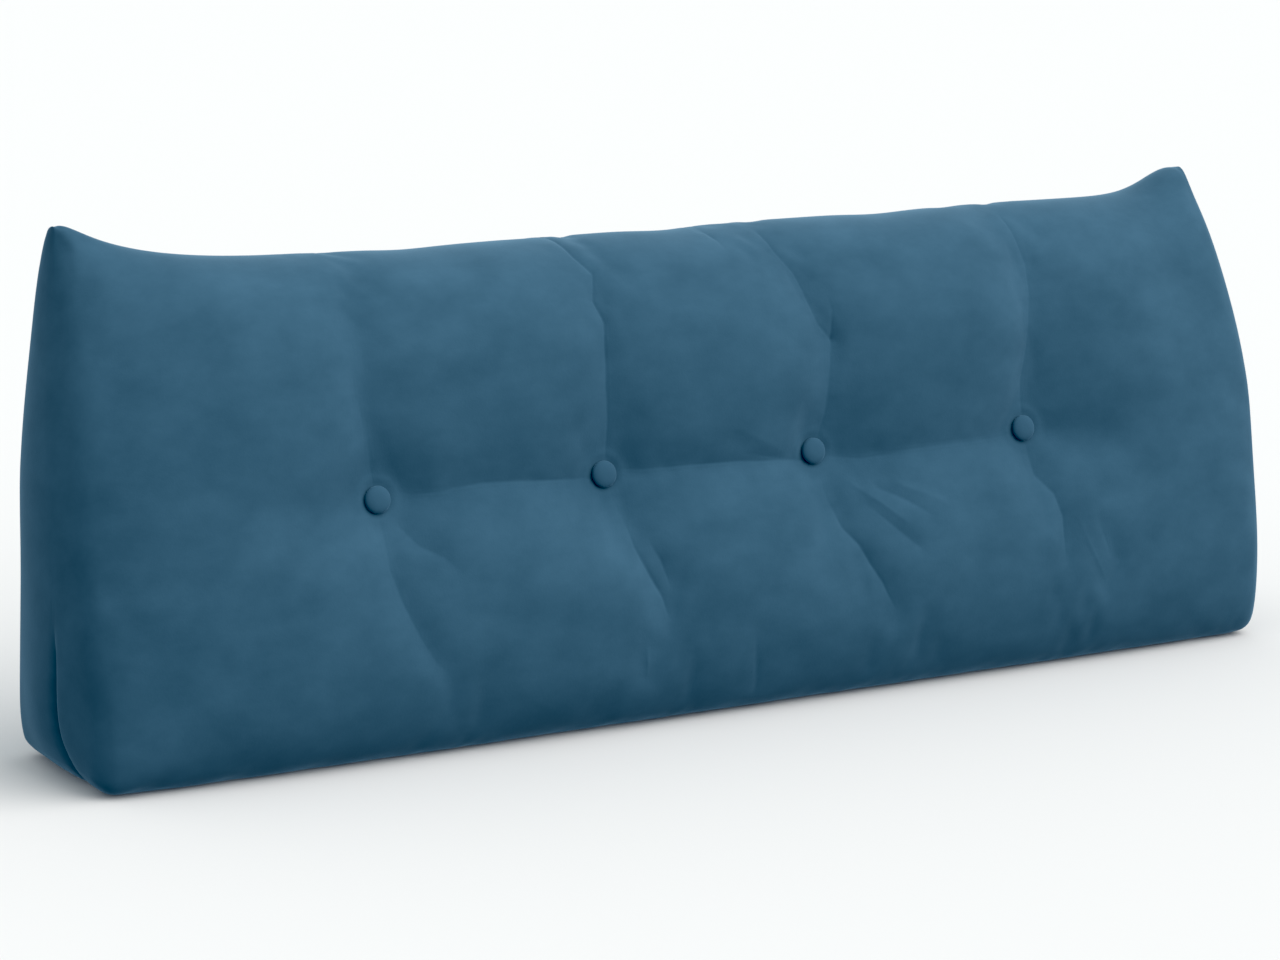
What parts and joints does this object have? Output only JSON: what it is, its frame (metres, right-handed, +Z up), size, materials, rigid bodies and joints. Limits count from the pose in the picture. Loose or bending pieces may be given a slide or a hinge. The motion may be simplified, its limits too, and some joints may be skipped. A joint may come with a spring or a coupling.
{
  "type": "wedge back cushion",
  "caption": "Long stuffed wedge cushion that stands on its flat base as a backrest, with a soft crown, pointed top corners and a row of covered tufting buttons.",
  "frame": {"origin": "middle of the floor area, on the underside of the base", "axes": "+X along the length, +Y from the buttoned front to the back, +Z up"},
  "size_m": [1.404, 0.2508, 0.53],
  "materials": {
    "velvet": "matte short pile",
    "button_velvet": "matte short pile, pulled taut"
  },
  "bodies": {
    "root": {"cushion": "velvet", "button_1": "button_velvet", "button_2": "button_velvet", "button_3": "button_velvet", "button_4": "button_velvet"}
  },
  "joints": []
}
